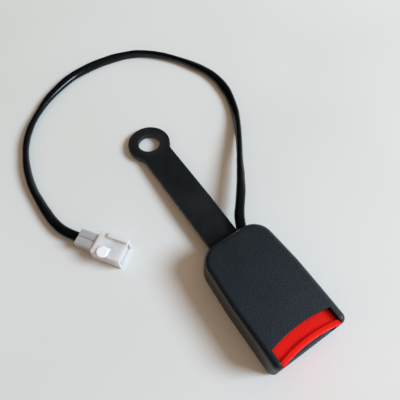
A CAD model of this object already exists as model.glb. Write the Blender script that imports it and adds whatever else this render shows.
"""Seat belt buckle on a flat steel anchor strap, with the lead of its warning switch."""

import math

import bmesh
import bpy
from mathutils import Matrix, Vector


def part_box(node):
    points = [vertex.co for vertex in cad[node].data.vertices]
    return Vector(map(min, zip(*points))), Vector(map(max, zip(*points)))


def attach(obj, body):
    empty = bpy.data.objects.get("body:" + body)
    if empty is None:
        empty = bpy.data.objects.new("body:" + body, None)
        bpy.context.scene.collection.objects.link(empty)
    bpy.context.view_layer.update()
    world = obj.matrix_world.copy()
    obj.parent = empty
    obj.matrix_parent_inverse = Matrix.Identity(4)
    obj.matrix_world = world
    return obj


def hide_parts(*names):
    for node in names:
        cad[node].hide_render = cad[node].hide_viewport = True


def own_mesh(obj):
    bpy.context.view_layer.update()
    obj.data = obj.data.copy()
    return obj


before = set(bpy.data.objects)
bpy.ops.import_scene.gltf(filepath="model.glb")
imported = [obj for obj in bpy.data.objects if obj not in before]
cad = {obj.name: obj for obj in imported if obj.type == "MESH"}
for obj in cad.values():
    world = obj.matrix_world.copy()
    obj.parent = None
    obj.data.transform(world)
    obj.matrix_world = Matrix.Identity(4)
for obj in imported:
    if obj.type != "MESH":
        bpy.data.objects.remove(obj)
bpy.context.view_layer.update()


# Camera. A hand-held view from the mouth end, a little to the left and well above the table.
camera_data = bpy.data.cameras.new("camera")
camera_data.lens = 38.2
camera_data.sensor_width = 36.0
camera_data.clip_start = 0.01
camera = bpy.data.objects.new("camera", camera_data)
bpy.context.scene.collection.objects.link(camera)
view_azimuth, view_elevation, view_roll = (math.radians(angle) for angle in (-34.46, 60.93, 0.58))
forward = Vector(
    (
        -math.sin(view_azimuth) * math.cos(view_elevation),
        math.cos(view_azimuth) * math.cos(view_elevation),
        -math.sin(view_elevation),
    )
)
level = Vector((math.cos(view_azimuth), math.sin(view_azimuth), 0.0))
upright = level.cross(forward)
camera_right = level * math.cos(view_roll) + upright * math.sin(view_roll)
camera_up = upright * math.cos(view_roll) - level * math.sin(view_roll)
camera_place = Matrix.Translation((-0.06380, -0.08169, 0.21887))
camera_turn = Matrix((camera_right, camera_up, -forward)).transposed().to_4x4()
camera.matrix_world = camera_place @ camera_turn
bpy.context.scene.camera = camera


# Table and light. A matt off-white table under a window on the right, with a warm, dim room on
# the left. The room is a gradient across the world; what the camera and the reflections see of it
# is a second one by height, darker on the far side.
bpy.context.scene.view_settings.view_transform = "Standard"


def new_material(name, **settings):
    """A material whose shader's own sockets take `settings`, with its shader, nodes and links."""
    material = bpy.data.materials.new(name)
    material.use_nodes = True
    shader = material.node_tree.nodes["Principled BSDF"]
    for socket, value in settings.items():
        shader.inputs[socket.replace("_", " ")].default_value = value
    return material, shader, material.node_tree.nodes, material.node_tree.links


def add_node(nodes, kind, sockets=(), **settings):
    """A node with its settings, and the values of its sockets by name or by number."""
    node = nodes.new(kind)
    for name, value in settings.items():
        setattr(node, name, value)
    for name, value in dict(sockets).items():
        node.inputs[name].default_value = value
    return node


def set_ramp(ramp, *stops):
    """Gives a colour ramp its stops, each a place and a colour."""
    elements = ramp.color_ramp.elements
    while len(elements) < len(stops):
        elements.new(0.5)
    for element, (place, colour) in zip(elements, stops):
        element.position = place
        element.color = (*colour, 1)


table_reach = 3.0
table_corners = [
    (side * table_reach, end * table_reach, 0.0)
    for side, end in ((-1, -1), (1, -1), (1, 1), (-1, 1))
]
table_mesh = bpy.data.meshes.new("table")
table_mesh.from_pydata(table_corners, [], [(0, 1, 2, 3)])
table = bpy.data.objects.new("table", table_mesh)
bpy.context.scene.collection.objects.link(table)
table_paint, shader, nodes, links = new_material(
    "table_paint", Roughness=0.9, Specular_IOR_Level=0.2
)
place = add_node(nodes, "ShaderNodeTexCoord")
cloud = add_node(nodes, "ShaderNodeTexNoise", {"Scale": 5.0})
slope = add_node(nodes, "ShaderNodeVectorMath", {1: (2.2, -1.5, 0.0)}, operation="DOT_PRODUCT")
total = add_node(nodes, "ShaderNodeMath", operation="ADD")
tint = add_node(nodes, "ShaderNodeValToRGB")
set_ramp(tint, (0.0, (0.67, 0.675, 0.645)), (0.5, (0.735, 0.74, 0.72)), (1.0, (0.83, 0.83, 0.81)))
links.new(place.outputs["Object"], cloud.inputs["Vector"])
links.new(place.outputs["Object"], slope.inputs[0])
links.new(cloud.outputs["Fac"], total.inputs[0])
links.new(slope.outputs["Value"], total.inputs[1])
links.new(total.outputs["Value"], tint.inputs["Fac"])
links.new(tint.outputs["Color"], shader.inputs["Base Color"])
table_mesh.materials.append(table_paint)

window_side = Vector((0.76, -0.62, 0.78))
window = bpy.data.lights.new("window", "SUN")
window.energy = 3.7
window.angle = math.radians(25)
window.color = (0.67, 0.85, 1.0)
window_lamp = bpy.data.objects.new("window", window)
bpy.context.scene.collection.objects.link(window_lamp)
window_lamp.rotation_euler = window_side.to_track_quat("Z", "Y").to_euler()

room = bpy.data.worlds.new("room")
bpy.context.scene.world = room
room.use_nodes = True
nodes, links = room.node_tree.nodes, room.node_tree.links
nodes.clear()
place = add_node(nodes, "ShaderNodeTexCoord")
across = add_node(nodes, "ShaderNodeVectorMath", {1: (0.36, -0.345, 0.0)}, operation="DOT_PRODUCT")
half = add_node(nodes, "ShaderNodeMath", {1: 0.5}, operation="ADD")
walls = add_node(nodes, "ShaderNodeValToRGB")
set_ramp(walls, (0.0, (0.36, 0.24, 0.15)), (0.5, (0.42, 0.31, 0.23)), (1.0, (0.66, 0.50, 0.38)))
height = add_node(nodes, "ShaderNodeSeparateXYZ")
backdrop = add_node(nodes, "ShaderNodeValToRGB")
set_ramp(
    backdrop, (0.08, (0.74, 0.745, 0.72)), (0.30, (0.22, 0.23, 0.24)), (0.8, (0.125, 0.18, 0.23))
)
far_side = add_node(
    nodes,
    "ShaderNodeMapRange",
    {"From Min": -0.25, "From Max": 0.15, "To Min": 0.12, "To Max": 1.0},
)
lit = add_node(nodes, "ShaderNodeBackground")
seen = add_node(nodes, "ShaderNodeBackground")
ray = add_node(nodes, "ShaderNodeLightPath")
either = add_node(nodes, "ShaderNodeMath", operation="MAXIMUM")
any_ray = add_node(nodes, "ShaderNodeMath", operation="MAXIMUM")
choice = add_node(nodes, "ShaderNodeMixShader")
out = add_node(nodes, "ShaderNodeOutputWorld")
links.new(place.outputs["Generated"], across.inputs[0])
links.new(across.outputs["Value"], half.inputs[0])
links.new(half.outputs["Value"], walls.inputs["Fac"])
links.new(walls.outputs["Color"], lit.inputs["Color"])
links.new(place.outputs["Generated"], height.inputs["Vector"])
links.new(height.outputs["Z"], backdrop.inputs["Fac"])
links.new(backdrop.outputs["Color"], seen.inputs["Color"])
links.new(across.outputs["Value"], far_side.inputs["Value"])
links.new(far_side.outputs["Result"], seen.inputs["Strength"])
links.new(ray.outputs["Is Camera Ray"], either.inputs[0])
links.new(ray.outputs["Is Glossy Ray"], either.inputs[1])
links.new(either.outputs["Value"], any_ray.inputs[0])
links.new(ray.outputs["Is Transmission Ray"], any_ray.inputs[1])
links.new(any_ray.outputs["Value"], choice.inputs["Fac"])
links.new(lit.outputs["Background"], choice.inputs[1])
links.new(seen.outputs["Background"], choice.inputs[2])
links.new(choice.outputs["Shader"], out.inputs["Surface"])


# Top and bottom covers. Two halves moulded in black plastic and pressed together on two pegs.
# The spark-eroded texture is coarse on top and fades down the sides, which slide out of the mould;
# the rolled-over edges between them are polished.
def new_group(name, inputs, outputs):
    """A shader node group with its named inputs and outputs; returns it and its two end nodes."""
    group = bpy.data.node_groups.new(name, "ShaderNodeTree")
    for label, kind, value in inputs:
        socket = group.interface.new_socket(label, in_out="INPUT", socket_type="NodeSocket" + kind)
        if value is not None:
            socket.default_value = value
    for label, kind in outputs:
        group.interface.new_socket(label, in_out="OUTPUT", socket_type="NodeSocket" + kind)
    return group, group.nodes.new("NodeGroupInput"), group.nodes.new("NodeGroupOutput")


def use_group(nodes, links, group, vector, **values):
    """Places a node group on a vector, with its own values."""
    node = nodes.new("ShaderNodeGroup")
    node.node_tree = group
    links.new(vector, node.inputs["Vector"])
    for name, value in values.items():
        node.inputs[name.replace("_", " ")].default_value = value
    return node


def blend(nodes, links, mask, first, second):
    """Colour that goes from `first` to `second` with a mask; each a socket or a colour."""
    mix = nodes.new("ShaderNodeMix")
    mix.data_type = "RGBA"
    links.new(mask, mix.inputs[0])
    for slot, colour in ((6, first), (7, second)):
        if isinstance(colour, tuple):
            mix.inputs[slot].default_value = (*colour, 1)
        else:
            links.new(colour, mix.inputs[slot])
    return mix.outputs[2]


def spread(nodes, links, mask, low, high, start=0.0, end=1.0):
    """Value that goes from `low` to `high` as a mask goes from `start` to `end`."""
    span = add_node(
        nodes,
        "ShaderNodeMapRange",
        {"From Min": start, "From Max": end, "To Min": low, "To Max": high},
    )
    links.new(mask, span.inputs["Value"])
    return span.outputs["Result"]


def bump(nodes, links, shader, height, distance, strength):
    """Raises the shader's surface by a height map."""
    node = add_node(nodes, "ShaderNodeBump", {"Distance": distance, "Strength": strength})
    links.new(height, node.inputs["Height"])
    links.new(node.outputs["Normal"], shader.inputs["Normal"])


moulded_grain, start, end = new_group(
    "moulded_grain",
    [("Vector", "Vector", None), ("Grain", "Float", 3500.0), ("Cloud", "Float", 90.0)],
    [("Height", "Float"), ("Speckle", "Float"), ("Cloud", "Float")],
)
nodes, links = moulded_grain.nodes, moulded_grain.links
pits = add_node(nodes, "ShaderNodeTexVoronoi", feature="SMOOTH_F1")
ripple = add_node(nodes, "ShaderNodeTexNoise", {"Detail": 3.0, "Roughness": 0.6})
both = add_node(nodes, "ShaderNodeMath", operation="ADD")
cloud = add_node(nodes, "ShaderNodeTexNoise", {"Detail": 2.0})
for texture in (pits, ripple):
    links.new(start.outputs["Vector"], texture.inputs["Vector"])
    links.new(start.outputs["Grain"], texture.inputs["Scale"])
links.new(start.outputs["Vector"], cloud.inputs["Vector"])
links.new(start.outputs["Cloud"], cloud.inputs["Scale"])
links.new(pits.outputs["Distance"], both.inputs[0])
links.new(ripple.outputs["Fac"], both.inputs[1])
links.new(both.outputs["Value"], end.inputs["Height"])
links.new(spread(nodes, links, ripple.outputs["Fac"], 0.0, 1.0, 0.42, 0.66), end.inputs["Speckle"])
links.new(spread(nodes, links, cloud.outputs["Fac"], 0.0, 1.0, 0.3, 0.7), end.inputs["Cloud"])

edge_wear, start, end = new_group(
    "edge_wear",
    [
        ("Vector", "Vector", None),
        ("Edge", "Float", 0.0),
        ("Patch", "Float", 400.0),
        ("Worn", "Float", 0.5),
    ],
    [("Mask", "Float")],
)
nodes, links = edge_wear.nodes, edge_wear.links
rubs = add_node(nodes, "ShaderNodeTexNoise", {"Detail": 4.0, "Roughness": 0.7})
bare = add_node(nodes, "ShaderNodeMapRange", {"From Min": 0.35, "From Max": 0.7})
least = add_node(nodes, "ShaderNodeMath", {1: 0.25}, operation="MAXIMUM")
amount = add_node(nodes, "ShaderNodeMath", operation="MULTIPLY")
worn = add_node(nodes, "ShaderNodeMath", operation="MULTIPLY", use_clamp=True)
links.new(start.outputs["Vector"], rubs.inputs["Vector"])
links.new(start.outputs["Patch"], rubs.inputs["Scale"])
links.new(rubs.outputs["Fac"], bare.inputs["Value"])
links.new(bare.outputs["Result"], least.inputs[0])
links.new(least.outputs["Value"], amount.inputs[0])
links.new(start.outputs["Worn"], amount.inputs[1])
links.new(amount.outputs["Value"], worn.inputs[0])
links.new(start.outputs["Edge"], worn.inputs[1])
links.new(worn.outputs["Value"], end.inputs["Mask"])

dust, start, end = new_group(
    "dust",
    [
        ("Vector", "Vector", None),
        ("Up", "Float", 1.0),
        ("Specks", "Float", 700.0),
        ("Film", "Float", 0.05),
    ],
    [("Mask", "Float")],
)
nodes, links = dust.nodes, dust.links
specks = add_node(nodes, "ShaderNodeTexVoronoi")
dot = add_node(nodes, "ShaderNodeMapRange", {"From Min": 0.10, "From Max": 0.05})
drift = add_node(nodes, "ShaderNodeTexNoise", {"Scale": 60.0, "Detail": 3.0})
film = add_node(nodes, "ShaderNodeMapRange", {"From Min": 0.45, "From Max": 0.75})
veil = add_node(nodes, "ShaderNodeMath", operation="MULTIPLY")
most = add_node(nodes, "ShaderNodeMath", operation="MAXIMUM")
facing = add_node(nodes, "ShaderNodeMapRange", {"From Min": 0.3, "From Max": 0.9})
settled = add_node(nodes, "ShaderNodeMath", operation="MULTIPLY")
links.new(start.outputs["Vector"], specks.inputs["Vector"])
links.new(start.outputs["Specks"], specks.inputs["Scale"])
links.new(start.outputs["Vector"], drift.inputs["Vector"])
links.new(specks.outputs["Distance"], dot.inputs["Value"])
links.new(drift.outputs["Fac"], film.inputs["Value"])
links.new(film.outputs["Result"], veil.inputs[0])
links.new(start.outputs["Film"], veil.inputs[1])
links.new(dot.outputs["Result"], most.inputs[0])
links.new(veil.outputs["Value"], most.inputs[1])
links.new(start.outputs["Up"], facing.inputs["Value"])
links.new(most.outputs["Value"], settled.inputs[0])
links.new(facing.outputs["Result"], settled.inputs[1])
links.new(settled.outputs["Value"], end.inputs["Mask"])


def surface(nodes):
    """Object coordinates, the mask of rounded edges and how far the surface faces up."""
    place = nodes.new("ShaderNodeTexCoord")
    edge = add_node(nodes, "ShaderNodeAttribute", attribute_name="rounded_edge")
    up = nodes.new("ShaderNodeSeparateXYZ")
    nodes.id_data.links.new(place.outputs["Normal"], up.inputs["Vector"])
    return place.outputs["Object"], edge.outputs["Fac"], up.outputs["Z"]


merge_distance = 2e-6
flat_angle = math.radians(0.3)
sharp_angle = math.radians(35)


def rounded_copy(node, body, material, edge_round, steps=2):
    """Stands a merged copy of a CAD node, with its sharp edges rounded, in the node's place.

    The faces of the rounded edges carry 1 in the attribute that edge wear reads.
    """
    mesh = cad[node].data.copy()
    mesh.materials.clear()
    mesh.materials.append(material)
    mesh.materials.append(material)
    shape = bmesh.new()
    shape.from_mesh(mesh)
    bmesh.ops.remove_doubles(shape, verts=shape.verts, dist=merge_distance)
    bmesh.ops.dissolve_limit(
        shape, angle_limit=flat_angle, verts=shape.verts, edges=shape.edges
    )
    for face in shape.faces:
        face.smooth = True
        face.material_index = 0
    shape.to_mesh(mesh)
    shape.free()
    draft = bpy.data.objects.new(node + "_draft", mesh)
    bpy.context.scene.collection.objects.link(draft)
    edge = draft.modifiers.new("edge_round", "BEVEL")
    edge.width = edge_round
    edge.segments = steps
    edge.limit_method = "ANGLE"
    edge.angle_limit = sharp_angle
    edge.use_clamp_overlap = True
    edge.material = 1
    flats = draft.modifiers.new("flat_faces", "WEIGHTED_NORMAL")
    flats.weight = 60
    flats.keep_sharp = True
    depsgraph = bpy.context.evaluated_depsgraph_get()
    final = bpy.data.meshes.new_from_object(draft.evaluated_get(depsgraph), depsgraph=depsgraph)
    bpy.data.objects.remove(draft)
    rims = final.attributes.new("rounded_edge", "FLOAT", "CORNER")
    for face in final.polygons:
        for corner in face.loop_indices:
            rims.data[corner].value = float(face.material_index)
        face.material_index = 0
    final.materials.pop(index=1)
    piece = bpy.data.objects.new(node + "_finished", final)
    bpy.context.scene.collection.objects.link(piece)
    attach(piece, body)
    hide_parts(node)
    return piece


black_moulding, shader, nodes, links = new_material("black_moulding", Specular_IOR_Level=0.5)
vector, edge, up = surface(nodes)
grain = use_group(nodes, links, moulded_grain, vector, Grain=1700.0, Cloud=55.0)
wear = use_group(nodes, links, edge_wear, vector, Patch=350.0, Worn=0.5)
links.new(edge, wear.inputs["Edge"])
settled = use_group(nodes, links, dust, vector, Specks=800.0, Film=0.06)
links.new(up, settled.inputs["Up"])
etched = spread(nodes, links, up, 0.0, 1.0, 0.55, 0.97)
dark_grain, light_grain = (0.0032, 0.0048, 0.0072), (0.0115, 0.0152, 0.0205)
base = blend(nodes, links, grain.outputs["Speckle"], dark_grain, light_grain)
base = blend(nodes, links, etched, (0.0024, 0.0026, 0.0030), base)
base = blend(nodes, links, wear.outputs["Mask"], base, (0.009, 0.011, 0.013))
base = blend(nodes, links, settled.outputs["Mask"], base, (0.036, 0.034, 0.031))
links.new(base, shader.inputs["Base Color"])
matt = spread(nodes, links, grain.outputs["Cloud"], 0.50, 0.57)
rolled_over = spread(nodes, links, up, 0.0, 1.0, 0.10, 0.35)
sides = blend(nodes, links, rolled_over, (0.50, 0.50, 0.50), (0.24, 0.24, 0.24))
finish = blend(nodes, links, etched, sides, matt)
finish = blend(nodes, links, wear.outputs["Mask"], finish, (0.36, 0.36, 0.36))
links.new(finish, shader.inputs["Roughness"])
relief = add_node(nodes, "ShaderNodeMath", operation="MULTIPLY")
links.new(grain.outputs["Height"], relief.inputs[0])
links.new(spread(nodes, links, up, 0.2, 1.0, 0.55, 0.97), relief.inputs[1])
bump(nodes, links, shader, relief.outputs["Value"], distance=0.00008, strength=1.0)
rounded_copy("top_cover", "housing", black_moulding, edge_round=0.00035)
rounded_copy("bottom_cover", "housing", black_moulding, edge_round=0.0003)


# Push button. Glossy red moulding with a raised lip for the thumb, sliding between the cheeks;
# the thumb has rubbed the lip smooth.
red_moulding, shader, nodes, links = new_material(
    "red_moulding",
    Specular_IOR_Level=0.14,
    Subsurface_Weight=0.8,
    Subsurface_Scale=0.003,
    Subsurface_Radius=(1.0, 0.25, 0.15),
)
vector, edge, up = surface(nodes)
grain = use_group(nodes, links, moulded_grain, vector, Grain=2600.0, Cloud=70.0)
wear = use_group(nodes, links, edge_wear, vector, Patch=300.0, Worn=0.6)
links.new(edge, wear.inputs["Edge"])
settled = use_group(nodes, links, dust, vector, Specks=900.0, Film=0.02)
links.new(up, settled.inputs["Up"])
base = blend(nodes, links, grain.outputs["Cloud"], (0.96, 0.0100, 0.0050), (0.99, 0.0130, 0.0065))
base = blend(nodes, links, wear.outputs["Mask"], base, (0.98, 0.024, 0.014))
base = blend(nodes, links, settled.outputs["Mask"], base, (0.80, 0.05, 0.04))
links.new(base, shader.inputs["Base Color"])
links.new(spread(nodes, links, grain.outputs["Speckle"], 0.36, 0.44), shader.inputs["Roughness"])
bump(nodes, links, shader, grain.outputs["Height"], distance=0.000012, strength=0.5)
rounded_copy("press_button", "button", red_moulding, edge_round=0.0003, steps=3)


# Buckle frame, bridge, latch plate and pin. Pressed from rolled steel sheet and zinc plated, with
# sheared edges a little darker; the pin is turned bar, the bridge is welded across the walls.
rolled_zinc, start, end = new_group(
    "rolled_zinc",
    [
        ("Vector", "Vector", None),
        ("Lines", "Vector", (9000.0, 260.0, 9000.0)),
        ("Bloom", "Float", 160.0),
    ],
    [("Height", "Float"), ("Streak", "Float"), ("Bloom", "Float")],
)
nodes, links = rolled_zinc.nodes, rolled_zinc.links
stretch = add_node(nodes, "ShaderNodeVectorMath", operation="MULTIPLY")
streaks = add_node(nodes, "ShaderNodeTexNoise", {"Scale": 1.0, "Detail": 4.0, "Roughness": 0.65})
spangle = add_node(nodes, "ShaderNodeTexNoise", {"Detail": 3.0})
links.new(start.outputs["Vector"], stretch.inputs[0])
links.new(start.outputs["Lines"], stretch.inputs[1])
links.new(stretch.outputs["Vector"], streaks.inputs["Vector"])
links.new(start.outputs["Vector"], spangle.inputs["Vector"])
links.new(start.outputs["Bloom"], spangle.inputs["Scale"])
links.new(streaks.outputs["Fac"], end.inputs["Height"])
links.new(spread(nodes, links, streaks.outputs["Fac"], 0.0, 1.0, 0.3, 0.7), end.inputs["Streak"])
links.new(spread(nodes, links, spangle.outputs["Fac"], 0.0, 1.0, 0.35, 0.65), end.inputs["Bloom"])


def rolled_metal(name, lines, colours, bloom, roughness, relief, worn=None):
    """Bare or plated metal whose rolling lines run along the axis with the least of `lines`.

    `relief` is the height and strength of the lines, and `worn` the scale of the patches, how much
    is worn and the colour of the worn edges.
    """
    material, shader, nodes, links = new_material(name, Metallic=1.0)
    vector, edge, _ = surface(nodes)
    metal = use_group(nodes, links, rolled_zinc, vector, Lines=lines, Bloom=bloom)
    base = blend(nodes, links, metal.outputs["Bloom"], *colours)
    if worn:
        patch, amount, bare = worn
        wear = use_group(nodes, links, edge_wear, vector, Patch=patch, Worn=amount)
        links.new(edge, wear.inputs["Edge"])
        base = blend(nodes, links, wear.outputs["Mask"], base, bare)
    links.new(base, shader.inputs["Base Color"])
    streak = spread(nodes, links, metal.outputs["Streak"], *roughness)
    links.new(streak, shader.inputs["Roughness"])
    bump(nodes, links, shader, metal.outputs["Height"], *relief)
    return material


zinc_plate = {
    "bloom": 240.0,
    "roughness": (0.24, 0.46),
    "relief": (0.000008, 0.5),
    "worn": (500.0, 0.7, (0.36, 0.34, 0.31)),
}
sheet_zinc = rolled_metal(
    "sheet_zinc",
    (9000.0, 260.0, 9000.0),
    colours=((0.50, 0.51, 0.49), (0.66, 0.66, 0.63)),
    **zinc_plate,
)
cross_zinc = rolled_metal(
    "cross_zinc",
    (260.0, 9000.0, 9000.0),
    colours=((0.52, 0.52, 0.50), (0.68, 0.67, 0.63)),
    **zinc_plate,
)
rounded_copy("buckle_frame", "housing", sheet_zinc, edge_round=0.00018)
rounded_copy("spring_bridge", "housing", cross_zinc, edge_round=0.00018)
rounded_copy("latch_plate", "latch", sheet_zinc, edge_round=0.00018)
rounded_copy("latch_pin", "housing", cross_zinc, edge_round=0.00025)


# Anchor strap. Flat steel bar, blanked with its eye and bent, then dipped in satin black paint
# that is thin on the edges and rubbed round the bolt hole.
eye_radius = 0.013
washer_radius = 0.009
washer_fade = 0.0004
black_paint, shader, nodes, links = new_material("black_paint", Specular_IOR_Level=0.5)
vector, edge, up = surface(nodes)
peel = use_group(nodes, links, moulded_grain, vector, Grain=900.0, Cloud=80.0)
wear = use_group(nodes, links, edge_wear, vector, Patch=220.0, Worn=0.9)
links.new(edge, wear.inputs["Edge"])
settled = use_group(nodes, links, dust, vector, Specks=800.0, Film=0.06)
links.new(up, settled.inputs["Up"])
strap_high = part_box("anchor_strap")[1]
eye_place = (0.0, strap_high.y - eye_radius, 0.0)
reach = add_node(nodes, "ShaderNodeVectorMath", {1: eye_place}, operation="DISTANCE")
flat = add_node(nodes, "ShaderNodeVectorMath", {1: (1.0, 1.0, 0.0)}, operation="MULTIPLY")
links.new(vector, flat.inputs[0])
links.new(flat.outputs["Vector"], reach.inputs[0])
washer_inside, washer_outside = washer_radius - washer_fade, washer_radius + washer_fade
washer = spread(nodes, links, reach.outputs["Value"], 1.0, 0.0, washer_inside, washer_outside)
thin_paint, thick_paint = (0.0035, 0.0038, 0.0042), (0.0065, 0.0069, 0.0074)
base = blend(nodes, links, peel.outputs["Cloud"], thin_paint, thick_paint)
base = blend(nodes, links, washer, base, (0.0090, 0.0093, 0.0095))
base = blend(nodes, links, wear.outputs["Mask"], base, (0.060, 0.058, 0.054))
base = blend(nodes, links, settled.outputs["Mask"], base, (0.035, 0.033, 0.030))
links.new(base, shader.inputs["Base Color"])
links.new(spread(nodes, links, peel.outputs["Cloud"], 0.42, 0.54), shader.inputs["Roughness"])
bump(nodes, links, shader, peel.outputs["Height"], distance=0.00002, strength=0.5)
rounded_copy("anchor_strap", "housing", black_paint, edge_round=0.0004, steps=3)


# Strap rivets. Two round-headed rivets through the base plate and the strap, set in a press;
# the set has left a flat on each head.
rivet_low, rivet_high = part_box("strap_rivets")
rivet_pitch = 0.0054
rivet_shank = 0.0018
rivet_head = 0.0026
rivet_head_height = 0.0012
rivet_sides = 32
rivet_under_head = rivet_high.z - rivet_head_height
rivet_profile = [
    (0.0, rivet_low.z),
    (rivet_shank - 0.0002, rivet_low.z),
    (rivet_shank, rivet_low.z + 0.0002),
    (rivet_shank, rivet_under_head),
    (rivet_head - 0.0001, rivet_under_head),
    (rivet_head, rivet_under_head + 0.0001),
    (rivet_head * 0.97, rivet_under_head + 0.00045),
    (rivet_head * 0.86, rivet_under_head + 0.00078),
    (rivet_head * 0.68, rivet_under_head + 0.00103),
    (rivet_head * 0.46, rivet_high.z),
    (rivet_head * 0.42, rivet_high.z - 0.00004),
    (0.0, rivet_high.z - 0.00005),
]


def turned(name, profile, sides):
    """Mesh turned about the upright axis from a profile of radius and height.

    The profile starts and ends on the axis. The mesh is laid out ring by ring, so its corners come
    in the same order on every run.
    """
    (_, foot), *rings, (_, crown) = profile
    angles = [math.tau * side / sides for side in range(sides)]
    corners = [(0.0, 0.0, foot), (0.0, 0.0, crown)]
    first = len(corners)
    for radius, height in rings:
        corners += [(radius * math.cos(turn), radius * math.sin(turn), height) for turn in angles]
    faces = []
    for side in range(sides):
        here = range(first + side, len(corners), sides)
        after = range(first + (side + 1) % sides, len(corners), sides)
        faces += [(0, after[0], here[0]), (1, here[-1], after[-1])]
        faces += zip(here, after, after[1:], here[1:])
    mesh = bpy.data.meshes.new(name)
    mesh.from_pydata(corners, [], faces)
    mesh.shade_smooth()
    mesh.set_sharp_from_angle(angle=math.radians(40))
    return mesh


def new_tree(name, inputs):
    """A geometry node tree with its named inputs; returns it, its input and a closing step."""
    tree = bpy.data.node_groups.new(name, "GeometryNodeTree")
    tree.interface.new_socket("Geometry", in_out="INPUT", socket_type="NodeSocketGeometry")
    for label, kind, value in inputs:
        socket = tree.interface.new_socket(label, in_out="INPUT", socket_type="NodeSocket" + kind)
        if value is not None:
            socket.default_value = value
    tree.interface.new_socket("Material", in_out="INPUT", socket_type="NodeSocketMaterial")
    tree.interface.new_socket("Geometry", in_out="OUTPUT", socket_type="NodeSocketGeometry")
    start = tree.nodes.new("NodeGroupInput")

    def close(geometry):
        """Ends the tree: realized instances with their material."""
        real = tree.nodes.new("GeometryNodeRealizeInstances")
        paint = tree.nodes.new("GeometryNodeSetMaterial")
        end = tree.nodes.new("NodeGroupOutput")
        tree.links.new(geometry, real.inputs["Geometry"])
        tree.links.new(real.outputs["Geometry"], paint.inputs["Geometry"])
        tree.links.new(start.outputs["Material"], paint.inputs["Material"])
        tree.links.new(paint.outputs["Geometry"], end.inputs["Geometry"])

    return tree, start, close


def grow(name, tree, data, values):
    """The plain mesh object that a tree makes from `data` with its named values."""
    carrier = bpy.data.objects.new(name + "_carrier", data)
    bpy.context.scene.collection.objects.link(carrier)
    modifier = carrier.modifiers.new(tree.name, "NODES")
    modifier.node_group = tree
    sockets = [item for item in tree.interface.items_tree if item.in_out == "INPUT"]
    keys = {socket.name: socket.identifier for socket in sockets}
    for label, value in values.items():
        modifier[keys[label]] = value
    depsgraph = bpy.context.evaluated_depsgraph_get()
    mesh = bpy.data.meshes.new_from_object(carrier.evaluated_get(depsgraph), depsgraph=depsgraph)
    bpy.data.objects.remove(carrier)
    piece = bpy.data.objects.new(name, mesh)
    bpy.context.scene.collection.objects.link(piece)
    return piece


row_tree, start, close = new_tree(
    "row",
    [
        ("Piece", "Object", None),
        ("Count", "Int", 2),
        ("First", "Vector", None),
        ("Step", "Vector", None),
    ],
)
nodes, links = row_tree.nodes, row_tree.links
line = add_node(nodes, "GeometryNodeMeshLine")
source = add_node(nodes, "GeometryNodeObjectInfo")
row = add_node(nodes, "GeometryNodeInstanceOnPoints")
links.new(start.outputs["Count"], line.inputs["Count"])
links.new(start.outputs["First"], line.inputs["Start Location"])
links.new(start.outputs["Step"], line.inputs["Offset"])
links.new(start.outputs["Piece"], source.inputs["Object"])
links.new(line.outputs["Mesh"], row.inputs["Points"])
links.new(source.outputs["Geometry"], row.inputs["Instance"])
close(row.outputs["Instances"])

rivet_source = bpy.data.objects.new("rivet_source", turned("rivet", rivet_profile, rivet_sides))
rivets = grow(
    "rivets",
    row_tree,
    bpy.data.meshes.new("rivets"),
    {
        "Piece": rivet_source,
        "Count": 2,
        "First": (0.0, rivet_high.y - rivet_head - rivet_pitch, 0.0),
        "Step": (0.0, rivet_pitch, 0.0),
        "Material": sheet_zinc,
    },
)
bpy.data.objects.remove(rivet_source)
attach(rivets, "housing")
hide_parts("strap_rivets")


# Ejector. White acetal slide that the tongue pushes back against its spring. It is smooth, with a
# slight sheen and cloudy sinks over its thick bar, and its edges are nearly sharp.
def moulded_plastic(name, scales, colours, roughness, relief, worn=None, **settings):
    """A plain moulded material whose colours and roughness follow its clouds and its speckle.

    `scales` are those of the grain and the clouds, `relief` is the height and strength of the
    grain, and `worn` the scale of the patches, how much is worn and the colour of the worn edges.
    """
    material, shader, nodes, links = new_material(name, **settings)
    vector, edge, _ = surface(nodes)
    grain = use_group(nodes, links, moulded_grain, vector, Grain=scales[0], Cloud=scales[1])
    base = blend(nodes, links, grain.outputs["Cloud"], *colours)
    if worn:
        patch, amount, rubbed = worn
        wear = use_group(nodes, links, edge_wear, vector, Patch=patch, Worn=amount)
        links.new(edge, wear.inputs["Edge"])
        base = blend(nodes, links, wear.outputs["Mask"], base, rubbed)
    links.new(base, shader.inputs["Base Color"])
    matt = spread(nodes, links, grain.outputs["Speckle"], *roughness)
    links.new(matt, shader.inputs["Roughness"])
    bump(nodes, links, shader, grain.outputs["Height"], *relief)
    return material


white_acetal = moulded_plastic(
    "white_acetal",
    scales=(1500.0, 150.0),
    colours=((0.74, 0.73, 0.69), (0.80, 0.79, 0.76)),
    roughness=(0.34, 0.44),
    relief=(0.000015, 0.4),
    worn=(400.0, 0.6, (0.86, 0.85, 0.82)),
    Specular_IOR_Level=0.5,
    Subsurface_Weight=0.12,
    Subsurface_Scale=0.002,
    Subsurface_Radius=(1.0, 0.97, 0.93),
)
rounded_copy("ejector", "ejector", white_acetal, edge_round=0.00002)


# Springs. Coiled from bright drawn wire with their end turns closed: one behind each button arm,
# one behind the ejector, one over the latch and one over the switch plunger.
spring_tree, start, close = new_tree(
    "coil_spring",
    [
        ("Turns", "Float", 6.0),
        ("Radius", "Float", 0.001),
        ("Wire", "Float", 0.0002),
        ("Length", "Float", 0.01),
        ("Foot", "Vector", None),
        ("Turn", "Rotation", None),
    ],
)
nodes, links = spring_tree.nodes, spring_tree.links


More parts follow.
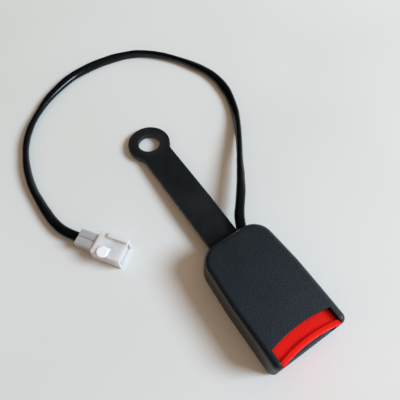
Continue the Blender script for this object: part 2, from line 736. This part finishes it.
def reckoner(tree):
    """A function that adds a sum or product of two sockets or numbers to a tree."""

    def reckon(operation, first, second):
        node = tree.nodes.new("ShaderNodeMath")
        node.operation = operation
        for slot, value in enumerate((first, second)):
            if isinstance(value, (int, float)):
                node.inputs[slot].default_value = value
            else:
                tree.links.new(value, node.inputs[slot])
        return node.outputs["Value"]

    return reckon


steps_per_turn = 20
wire_sides = 10
reckon = reckoner(spring_tree)
helix = add_node(
    nodes, "GeometryNodeCurveSpiral", {"Height": 0.0, "Resolution": steps_per_turn}
)
links.new(start.outputs["Turns"], helix.inputs["Rotations"])
links.new(start.outputs["Radius"], helix.inputs["Start Radius"])
links.new(start.outputs["Radius"], helix.inputs["End Radius"])
along = nodes.new("GeometryNodeSplineParameter")
wound = reckon("MULTIPLY", along.outputs["Factor"], start.outputs["Turns"])
free_turns = reckon("SUBTRACT", start.outputs["Turns"], 2.0)
wire_thick = reckon("MULTIPLY", start.outputs["Wire"], 2.0)
free_rise = reckon("SUBTRACT", start.outputs["Length"], reckon("MULTIPLY", wire_thick, 3.0))
lower = reckon("MINIMUM", wound, 1.0)
last_turn = reckon("SUBTRACT", start.outputs["Turns"], 1.0)
upper = reckon("MAXIMUM", reckon("SUBTRACT", wound, last_turn), 0.0)
middle = reckon("SUBTRACT", reckon("SUBTRACT", wound, lower), upper)
pitch = reckon("DIVIDE", free_rise, free_turns)
rise = reckon("MULTIPLY", middle, pitch)
rise = reckon("ADD", rise, reckon("MULTIPLY", reckon("ADD", lower, upper), wire_thick))
rise = reckon("ADD", rise, start.outputs["Wire"])
lift = add_node(nodes, "ShaderNodeCombineXYZ")
links.new(rise, lift.inputs["Z"])
raised = nodes.new("GeometryNodeSetPosition")
links.new(helix.outputs["Curve"], raised.inputs["Geometry"])
links.new(lift.outputs["Vector"], raised.inputs["Offset"])
section = add_node(nodes, "GeometryNodeCurvePrimitiveCircle", {"Resolution": wire_sides})
links.new(start.outputs["Wire"], section.inputs["Radius"])
tube = add_node(nodes, "GeometryNodeCurveToMesh", {"Fill Caps": True})
links.new(raised.outputs["Geometry"], tube.inputs["Curve"])
links.new(section.outputs["Curve"], tube.inputs["Profile Curve"])
smooth = nodes.new("GeometryNodeSetShadeSmooth")
links.new(tube.outputs["Mesh"], smooth.inputs["Geometry"])
placed = nodes.new("GeometryNodeTransform")
links.new(smooth.outputs["Geometry"], placed.inputs["Geometry"])
links.new(start.outputs["Foot"], placed.inputs["Translation"])
links.new(start.outputs["Turn"], placed.inputs["Rotation"])
close(placed.outputs["Geometry"])

drawn_wire = rolled_metal(
    "drawn_wire",
    (5000.0, 5000.0, 5000.0),
    bloom=900.0,
    colours=((0.34, 0.34, 0.36), (0.52, 0.52, 0.54)),
    roughness=(0.22, 0.36),
    relief=(0.000004, 0.4),
)
spring_clearance = 0.00015


def fit_spring(node, turns, wire, along):
    """Winds a spring in the box of its CAD node and lets it close as its joint moves.

    `wire` is the wire's radius, `along` the letter of the spring's axis, `anchor` the place of its
    fixed end on that axis, and `keep` the share of its length that is left at the joint's limit.
    """
    low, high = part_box(node)
    middle = (low + high) / 2
    if along == "y":
        length = high.y - low.y
        foot, turn = (middle.x, low.y, middle.z), (-math.pi / 2, 0.0, 0.0)
    else:
        length = high.z - low.z
        foot, turn = (middle.x, middle.y, low.z), (0.0, 0.0, 0.0)
    spring = grow(
        node + "_wound",
        spring_tree,
        bpy.data.meshes.new(node + "_wound"),
        {
            "Turns": turns,
            "Radius": (high.x - low.x) / 2 - wire - spring_clearance,
            "Wire": wire,
            "Length": length,
            "Foot": foot,
            "Turn": turn,
            "Material": drawn_wire,
        },
    )
    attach(spring, "housing")
    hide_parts(node)
    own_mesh(spring)


fit_spring("button_spring_left", 9.0, 0.00025, "y")
fit_spring("button_spring_right", 9.0, 0.00025, "y")
fit_spring("ejector_spring", 10.0, 0.0003, "y")
fit_spring("latch_spring", 4.5, 0.00022, "z")
fit_spring("switch_spring", 4.5, 0.00015, "z")


# Warning switch. A black case under the bridge with a white plunger, two tinned blades and two
# black insulated wires that run over the latch pin to the grommet.
black_switch, shader, nodes, links = new_material("black_switch", Specular_IOR_Level=0.45)
vector, edge, _ = surface(nodes)
grain = use_group(nodes, links, moulded_grain, vector, Grain=4500.0, Cloud=300.0)
wear = use_group(nodes, links, edge_wear, vector, Patch=600.0, Worn=0.5)
links.new(edge, wear.inputs["Edge"])
base = blend(nodes, links, grain.outputs["Speckle"], (0.012, 0.012, 0.013), (0.020, 0.020, 0.021))
base = blend(nodes, links, wear.outputs["Mask"], base, (0.050, 0.050, 0.050))
links.new(base, shader.inputs["Base Color"])
links.new(spread(nodes, links, grain.outputs["Cloud"], 0.35, 0.48), shader.inputs["Roughness"])
bump(nodes, links, shader, grain.outputs["Height"], distance=0.00001, strength=0.5)
rounded_copy("switch_case", "housing", black_switch, edge_round=0.00012)
rounded_copy("switch_plunger", "plunger", white_acetal, edge_round=0.00012)

tinned_brass = rolled_metal(
    "tinned_brass",
    (7000.0, 400.0, 7000.0),
    bloom=700.0,
    colours=((0.62, 0.60, 0.56), (0.72, 0.70, 0.66)),
    roughness=(0.22, 0.4),
    relief=(0.000004, 0.4),
    worn=(700.0, 0.9, (0.62, 0.42, 0.18)),
)
rounded_copy("switch_blades", "housing", tinned_brass, edge_round=0.0001)

wire_vinyl = moulded_plastic(
    "wire_vinyl",
    scales=(2500.0, 300.0),
    colours=((0.010, 0.010, 0.011), (0.018, 0.018, 0.019)),
    roughness=(0.24, 0.34),
    relief=(0.00001, 0.4),
    Specular_IOR_Level=0.5,
)
rounded_copy("switch_wires", "housing", wire_vinyl, edge_round=0.0001)


# Grommet. Soft black rubber sleeve pinched between the covers where the lead leaves them.
soft_rubber = moulded_plastic(
    "soft_rubber",
    scales=(2200.0, 200.0),
    colours=((0.008, 0.008, 0.008), (0.014, 0.014, 0.014)),
    roughness=(0.6, 0.75),
    relief=(0.00002, 0.6),
    worn=(500.0, 0.4, (0.030, 0.030, 0.030)),
    Specular_IOR_Level=0.3,
)
rounded_copy("cable_grommet", "housing", soft_rubber, edge_round=0.0003)


# Connector. Two-way receptacle moulded in natural nylon, greyer over the chambers that hold the
# wires, with a rail on one side, a whiter lock pad pressed on its top and two brass terminals in
# its tower.
connector_direction = (0.5736, -0.8192, 0.0)
chambers_end = -0.0570
tower_start = -0.0520
natural_nylon, shader, nodes, links = new_material(
    "natural_nylon",
    Specular_IOR_Level=0.45,
    Subsurface_Weight=0.8,
    Subsurface_Scale=0.005,
    Subsurface_Radius=(1.0, 0.97, 0.93),
)
vector, edge, _ = surface(nodes)
grain = use_group(nodes, links, moulded_grain, vector, Grain=1400.0, Cloud=170.0)
wear = use_group(nodes, links, edge_wear, vector, Patch=500.0, Worn=0.6)
links.new(edge, wear.inputs["Edge"])
base = blend(nodes, links, grain.outputs["Cloud"], (0.68, 0.68, 0.68), (0.76, 0.76, 0.76))
along = add_node(
    nodes, "ShaderNodeVectorMath", {1: connector_direction}, operation="DOT_PRODUCT"
)
links.new(vector, along.inputs[0])
wires_inside = spread(nodes, links, along.outputs["Value"], 1.0, 0.0, chambers_end, tower_start)
base = blend(nodes, links, wires_inside, base, (0.42, 0.41, 0.42))
base = blend(nodes, links, wear.outputs["Mask"], base, (0.80, 0.80, 0.79))
links.new(base, shader.inputs["Base Color"])
links.new(spread(nodes, links, grain.outputs["Speckle"], 0.36, 0.48), shader.inputs["Roughness"])
bump(nodes, links, shader, grain.outputs["Height"], distance=0.00002, strength=0.4)
connector = rounded_copy(
    "connector_body", "housing", natural_nylon, edge_round=0.0003
)

bright_nylon = moulded_plastic(
    "bright_nylon",
    scales=(1600.0, 260.0),
    colours=((0.88, 0.92, 0.98), (0.92, 0.96, 1.0)),
    roughness=(0.28, 0.38),
    relief=(0.00001, 0.4),
    worn=(500.0, 0.5, (0.90, 0.91, 0.93)),
    Specular_IOR_Level=0.5,
    Subsurface_Weight=0.3,
    Subsurface_Scale=0.002,
    Subsurface_Radius=(1.0, 0.98, 0.96),
)
lock = rounded_copy("connector_lock", "housing", bright_nylon, edge_round=0.00015)

stamped_brass = rolled_metal(
    "stamped_brass",
    (2500.0, 1200.0, 6000.0),
    bloom=600.0,
    colours=((0.56, 0.38, 0.15), (0.70, 0.50, 0.22)),
    roughness=(0.22, 0.4),
    relief=(0.000004, 0.4),
    worn=(800.0, 0.7, (0.80, 0.62, 0.32)),
)
terminals = rounded_copy(
    "connector_terminals", "housing", stamped_brass, edge_round=0.00008
)


# Lead. Two thin wires in a soft, glossy black sleeve, 5 mm thick and 380 mm long. It leaves the
# rear of the housing, comes down to the table and lies in one wide open loop to the connector. Its
# tree sweeps a pinched, turning oval along the route, creases it and keeps it above the table.
lead_points = [
    (0.0102, -0.013854, 0.0104),
    (0.0133, -0.0075, 0.0104),
    (0.0190, -0.0006, 0.0102),
    (0.0289, 0.0114, 0.0094),
    (0.0429, 0.0316, 0.0069),
    (0.0543, 0.0483, 0.0038),
    (0.0622, 0.0628, 0.0026),
    (0.0673, 0.0785, 0.0025),
    (0.0678, 0.0950, 0.0025),
    (0.0624, 0.1105, 0.0025),
    (0.0540, 0.1246, 0.0025),
    (0.0443, 0.1356, 0.0025),
    (0.0322, 0.1443, 0.0025),
    (0.0168, 0.1486, 0.0025),
    (0.0004, 0.1497, 0.0025),
    (-0.0156, 0.1482, 0.0025),
    (-0.0310, 0.1422, 0.0025),
    (-0.0446, 0.1338, 0.0025),
    (-0.0564, 0.1233, 0.0025),
    (-0.0654, 0.1099, 0.0025),
    (-0.0709, 0.0944, 0.0025),
    (-0.0739, 0.0784, 0.0025),
    (-0.0735, 0.0620, 0.0025),
    (-0.0726, 0.0505, 0.0029),
    (-0.069762, 0.040972, 0.0043),
    (-0.0646, 0.0336, 0.0043),
]
lead_diameter = 0.005
lead_width = 1.14 * lead_diameter
lead_thickness = 0.88 * lead_diameter
lead_rings = 480
lead_sides = 28
lead_curve = bpy.data.curves.new("lead_route", "CURVE")
lead_curve.dimensions = "3D"
lead_spline = lead_curve.splines.new("NURBS")
lead_spline.points.add(len(lead_points) - 1)
for control, point in zip(lead_spline.points, lead_points):
    control.co = (*point, 1.0)
lead_spline.order_u = 3
lead_spline.use_endpoint_u = True
lead_spline.resolution_u = 8
lead_route = bpy.data.objects.new("lead_route", lead_curve)
bpy.context.scene.collection.objects.link(lead_route)
depsgraph = bpy.context.evaluated_depsgraph_get()
lead_line = bpy.data.meshes.new_from_object(
    lead_route.evaluated_get(depsgraph), depsgraph=depsgraph
)
bpy.data.meshes.remove(lead_line)
bpy.data.objects.remove(lead_route)

lead_tree, start, close = new_tree(
    "sleeved_lead",
    [
        ("Width", "Float", 0.005),
        ("Thickness", "Float", 0.005),
        ("Waist", "Float", 0.1),
        ("Twist", "Float", 5.0),
        ("Crease", "Float", 0.0003),
        ("Floor", "Float", 0.0),
    ],
)
nodes, links = lead_tree.nodes, lead_tree.links
reckon = reckoner(lead_tree)
dense = add_node(nodes, "GeometryNodeResampleCurve", {"Count": lead_rings})
along = nodes.new("GeometryNodeSplineParameter")
tilted = nodes.new("GeometryNodeSetCurveTilt")
links.new(start.outputs["Geometry"], dense.inputs["Curve"])
links.new(dense.outputs["Curve"], tilted.inputs["Curve"])
tilt = reckon("MULTIPLY", along.outputs["Factor"], start.outputs["Twist"])
links.new(tilt, tilted.inputs["Tilt"])

ring = add_node(
    nodes, "GeometryNodeCurvePrimitiveCircle", {"Resolution": lead_sides, "Radius": 1.0}
)
spot = nodes.new("GeometryNodeInputPosition")
parts = nodes.new("ShaderNodeSeparateXYZ")
shaped = nodes.new("ShaderNodeCombineXYZ")
section = nodes.new("GeometryNodeSetPosition")
links.new(spot.outputs["Position"], parts.inputs["Vector"])
squared = reckon("MULTIPLY", parts.outputs["X"], parts.outputs["X"])
fuller = reckon("MULTIPLY", reckon("MULTIPLY", squared, 2.0), start.outputs["Waist"])
pinched = reckon("ADD", reckon("SUBTRACT", 1.0, start.outputs["Waist"]), fuller)
half_width = reckon("MULTIPLY", start.outputs["Width"], 0.5)
half_thick = reckon("MULTIPLY", start.outputs["Thickness"], 0.5)
links.new(reckon("MULTIPLY", parts.outputs["X"], half_width), shaped.inputs["X"])
full_thick = reckon("MULTIPLY", parts.outputs["Y"], half_thick)
links.new(reckon("MULTIPLY", full_thick, pinched), shaped.inputs["Y"])
links.new(ring.outputs["Curve"], section.inputs["Geometry"])
links.new(shaped.outputs["Vector"], section.inputs["Position"])

tube = add_node(nodes, "GeometryNodeCurveToMesh", {"Fill Caps": True})
links.new(tilted.outputs["Curve"], tube.inputs["Curve"])
links.new(section.outputs["Geometry"], tube.inputs["Profile Curve"])
facing = nodes.new("GeometryNodeInputNormal")
swell = add_node(nodes, "ShaderNodeTexNoise", {"Scale": 70.0, "Detail": 1.0})
lift = add_node(nodes, "ShaderNodeVectorMath", operation="SCALE")
creased = nodes.new("GeometryNodeSetPosition")
links.new(facing.outputs["Normal"], lift.inputs[0])
uneven = reckon("SUBTRACT", swell.outputs["Fac"], 0.5)
links.new(reckon("MULTIPLY", uneven, start.outputs["Crease"]), lift.inputs["Scale"])
links.new(tube.outputs["Mesh"], creased.inputs["Geometry"])
links.new(lift.outputs["Vector"], creased.inputs["Offset"])
landed = nodes.new("GeometryNodeSetPosition")
laid_spot = nodes.new("GeometryNodeInputPosition")
laid = nodes.new("ShaderNodeSeparateXYZ")
settled_spot = nodes.new("ShaderNodeCombineXYZ")
links.new(laid_spot.outputs["Position"], laid.inputs["Vector"])
links.new(laid.outputs["X"], settled_spot.inputs["X"])
links.new(laid.outputs["Y"], settled_spot.inputs["Y"])
links.new(reckon("MAXIMUM", laid.outputs["Z"], start.outputs["Floor"]), settled_spot.inputs["Z"])
links.new(creased.outputs["Geometry"], landed.inputs["Geometry"])
links.new(settled_spot.outputs["Vector"], landed.inputs["Position"])
smooth = nodes.new("GeometryNodeSetShadeSmooth")
links.new(landed.outputs["Geometry"], smooth.inputs["Geometry"])
close(smooth.outputs["Geometry"])

sleeve_vinyl, shader, nodes, links = new_material("sleeve_vinyl", Specular_IOR_Level=0.27)
vector, _, up = surface(nodes)
grain = use_group(nodes, links, moulded_grain, vector, Grain=1300.0, Cloud=90.0)
settled = use_group(nodes, links, dust, vector, Specks=900.0, Film=0.02)
links.new(up, settled.inputs["Up"])
dark_sleeve, light_sleeve = (0.0012, 0.0013, 0.0016), (0.0024, 0.0026, 0.0031)
base = blend(nodes, links, grain.outputs["Cloud"], dark_sleeve, light_sleeve)
base = blend(nodes, links, settled.outputs["Mask"], base, (0.018, 0.017, 0.016))
links.new(base, shader.inputs["Base Color"])
links.new(spread(nodes, links, grain.outputs["Speckle"], 0.15, 0.21), shader.inputs["Roughness"])
bump(nodes, links, shader, grain.outputs["Height"], distance=0.00002, strength=0.5)
lead = grow(
    "lead",
    lead_tree,
    lead_curve,
    {
        "Width": lead_width,
        "Thickness": lead_thickness,
        "Waist": 0.08,
        "Twist": 9.5,
        "Crease": 0.0009,
        "Floor": 0.00003,
        "Material": sleeve_vinyl,
    },
)
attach(lead, "housing")
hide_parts("lead_sleeve")
